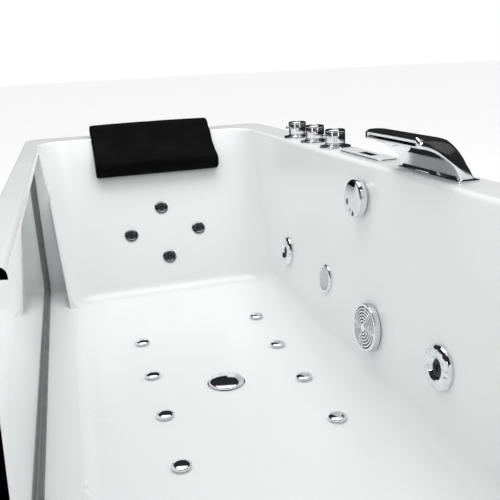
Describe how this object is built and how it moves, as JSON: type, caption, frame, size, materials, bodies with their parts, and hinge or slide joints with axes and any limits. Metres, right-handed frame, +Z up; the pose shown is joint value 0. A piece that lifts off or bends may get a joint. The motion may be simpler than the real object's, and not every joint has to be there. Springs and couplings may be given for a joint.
{
  "type": "jetted bathtub",
  "caption": "Jetted bathtub with one glass long side, headrest, deck taps with a sheet spout, back, side and floor jets, pop-up waste, and its pump, blower and levelling frame.",
  "frame": {"origin": "middle of the footprint, on the floor under the levelling feet", "axes": "+X along the tub from the headrest end to the foot end, +Y towards the side with the taps, +Z up"},
  "size_m": [1.7, 0.7, 0.6496],
  "materials": {
    "acrylic": "gloss moulded acrylic",
    "clear_glass": "clear laminated glass",
    "grey_rubber": "matt",
    "brushed_steel": "brushed",
    "chrome": "mirror polished",
    "white_panel": "gloss",
    "frame_steel": "galvanised grey",
    "headrest_foam": "matt black moulded foam skin",
    "black_plastic": "matt",
    "grey_pipe": "matt",
    "white_pipe": "matt",
    "frosted_lens": "frosted",
    "dark_display": "gloss",
    "motor_paint": "satin",
    "brass": "plain",
    "zinc": "zinc plated",
    "timber": "plain sawn"
  },
  "bodies": {
    "tub": {"air_pipes": "white_pipe", "back_jet_bodies": "chrome", "back_panel": "white_panel", "base_rails": "frame_steel", "blower_housing": "black_plastic", "control_box": "white_pipe", "control_display": "dark_display", "control_panel": "chrome", "drain_trap": "white_pipe", "floor_jet_bodies": "white_pipe", "floor_jet_caps": "chrome", "floor_supports": "timber", "foot_end_panel": "white_panel", "foot_lock_nuts": "zinc", "frame_posts": "frame_steel", "front_panel": "white_panel", "glass_window": "clear_glass", "head_end_panel": "white_panel", "headrest": "headrest_foam", "light_housing": "chrome", "light_lens": "frosted_lens", "mixer_pipe": "brass", "overflow_body": "chrome", "overflow_pipe": "white_pipe", "panel_screws": "chrome", "pump_casing": "black_plastic", "pump_motor": "motor_paint", "side_jet_bodies": "white_pipe", "suction_body": "white_pipe", "suction_grille": "chrome", "tap_rosettes": "chrome", "tub_shell": "acrylic", "valve_bodies": "brass", "waste_body": "chrome", "waste_cable": "black_plastic", "water_pipes": "grey_pipe", "waterfall_spout": "chrome", "window_gasket": "grey_rubber", "window_retainer": "brushed_steel"},
    "foot_1": {"levelling_foot_1": "zinc"},
    "foot_2": {"levelling_foot_2": "zinc"},
    "foot_3": {"levelling_foot_3": "zinc"},
    "foot_4": {"levelling_foot_4": "zinc"},
    "foot_5": {"levelling_foot_5": "zinc"},
    "foot_6": {"levelling_foot_6": "zinc"},
    "hot_handle": {"hot_handle": "chrome"},
    "diverter_handle": {"diverter_handle": "chrome"},
    "cold_handle": {"cold_handle": "chrome"},
    "overflow_knob": {"overflow_knob": "chrome"},
    "popup_plug": {"popup_plug": "chrome"},
    "back_jet_1": {"back_jet_nozzle_1": "black_plastic"},
    "back_jet_2": {"back_jet_nozzle_2": "black_plastic"},
    "back_jet_3": {"back_jet_nozzle_3": "black_plastic"},
    "back_jet_4": {"back_jet_nozzle_4": "black_plastic"},
    "side_jet_1": {"side_jet_rosette_1": "chrome"},
    "side_nozzle_1": {"side_jet_nozzle_1": "black_plastic"},
    "side_jet_2": {"side_jet_rosette_2": "chrome"},
    "side_nozzle_2": {"side_jet_nozzle_2": "black_plastic"},
    "pump_impeller": {"pump_impeller": "black_plastic"},
    "blower_fan": {"blower_fan": "black_plastic"}
  },
  "joints": [
    {"name": "foot_1_height", "type": "slide", "parent": "tub", "child": "foot_1", "axis": [0, 0, -1], "range_m": [0, 0.015]},
    {"name": "foot_2_height", "type": "slide", "parent": "tub", "child": "foot_2", "axis": [0, 0, -1], "range_m": [0, 0.015]},
    {"name": "foot_3_height", "type": "slide", "parent": "tub", "child": "foot_3", "axis": [0, 0, -1], "range_m": [0, 0.015]},
    {"name": "foot_4_height", "type": "slide", "parent": "tub", "child": "foot_4", "axis": [0, 0, -1], "range_m": [0, 0.015]},
    {"name": "foot_5_height", "type": "slide", "parent": "tub", "child": "foot_5", "axis": [0, 0, -1], "range_m": [0, 0.015]},
    {"name": "foot_6_height", "type": "slide", "parent": "tub", "child": "foot_6", "axis": [0, 0, -1], "range_m": [0, 0.015]},
    {"name": "hot_handle_turn", "type": "hinge", "parent": "tub", "child": "hot_handle", "pos_m": [-0.369, 0.312, 0.59], "axis": [0, 0, 1], "range_deg": [0, 180]},
    {"name": "diverter_handle_turn", "type": "hinge", "parent": "tub", "child": "diverter_handle", "pos_m": [-0.252, 0.312, 0.59], "axis": [0, 0, 1], "range_deg": [-45, 45]},
    {"name": "cold_handle_turn", "type": "hinge", "parent": "tub", "child": "cold_handle", "pos_m": [-0.135, 0.312, 0.59], "axis": [0, 0, 1], "range_deg": [0, 180]},
    {"name": "overflow_knob_turn", "type": "hinge", "parent": "tub", "child": "overflow_knob", "pos_m": [0.09, 0.26639, 0.514], "axis": [0, -0.9964, 0.0847], "range_deg": [0, 90]},
    {"name": "plug_lift", "type": "slide", "parent": "tub", "child": "popup_plug", "axis": [0, 0, 1], "range_m": [0, 0.012]},
    {"name": "back_jet_1_spin", "type": "hinge", "parent": "tub", "child": "back_jet_1", "pos_m": [-0.6037, -0.008, 0.391], "axis": [0.8192, 0, 0.5735], "continuous": true},
    {"name": "back_jet_2_spin", "type": "hinge", "parent": "tub", "child": "back_jet_2", "pos_m": [-0.5624, -0.1, 0.332], "axis": [0.8192, 0, 0.5735], "continuous": true},
    {"name": "back_jet_3_spin", "type": "hinge", "parent": "tub", "child": "back_jet_3", "pos_m": [-0.5624, 0.084, 0.332], "axis": [0.8192, 0, 0.5735], "continuous": true},
    {"name": "back_jet_4_spin", "type": "hinge", "parent": "tub", "child": "back_jet_4", "pos_m": [-0.5211, -0.008, 0.273], "axis": [0.8192, 0, 0.5735], "continuous": true},
    {"name": "side_jet_1_turn", "type": "hinge", "parent": "tub", "child": "side_jet_1", "pos_m": [-0.287, 0.24965, 0.317], "axis": [0, -0.9964, 0.0847], "range_deg": [0, 90]},
    {"name": "side_nozzle_1_tilt", "type": "hinge", "parent": "side_jet_1", "child": "side_nozzle_1", "pos_m": [-0.287, 0.25363, 0.31666], "axis": [1, 0, 0], "range_deg": [-12, 12]},
    {"name": "side_jet_2_turn", "type": "hinge", "parent": "tub", "child": "side_jet_2", "pos_m": [0.39, 0.24965, 0.317], "axis": [0, -0.9964, 0.0847], "range_deg": [0, 90]},
    {"name": "side_nozzle_2_tilt", "type": "hinge", "parent": "side_jet_2", "child": "side_nozzle_2", "pos_m": [0.39, 0.25363, 0.31666], "axis": [1, 0, 0], "range_deg": [-12, 12]},
    {"name": "pump_spin", "type": "hinge", "parent": "tub", "child": "pump_impeller", "pos_m": [0.765, 0.09, 0.165], "axis": [0, 1, 0], "continuous": true},
    {"name": "fan_spin", "type": "hinge", "parent": "tub", "child": "blower_fan", "pos_m": [-0.705, -0.13, 0.13], "axis": [0, 0, 1], "continuous": true}
  ],
  "couplings": [
    {"joint": "plug_lift", "follows": "overflow_knob_turn", "m_per_rad": 0.0076394}
  ]
}
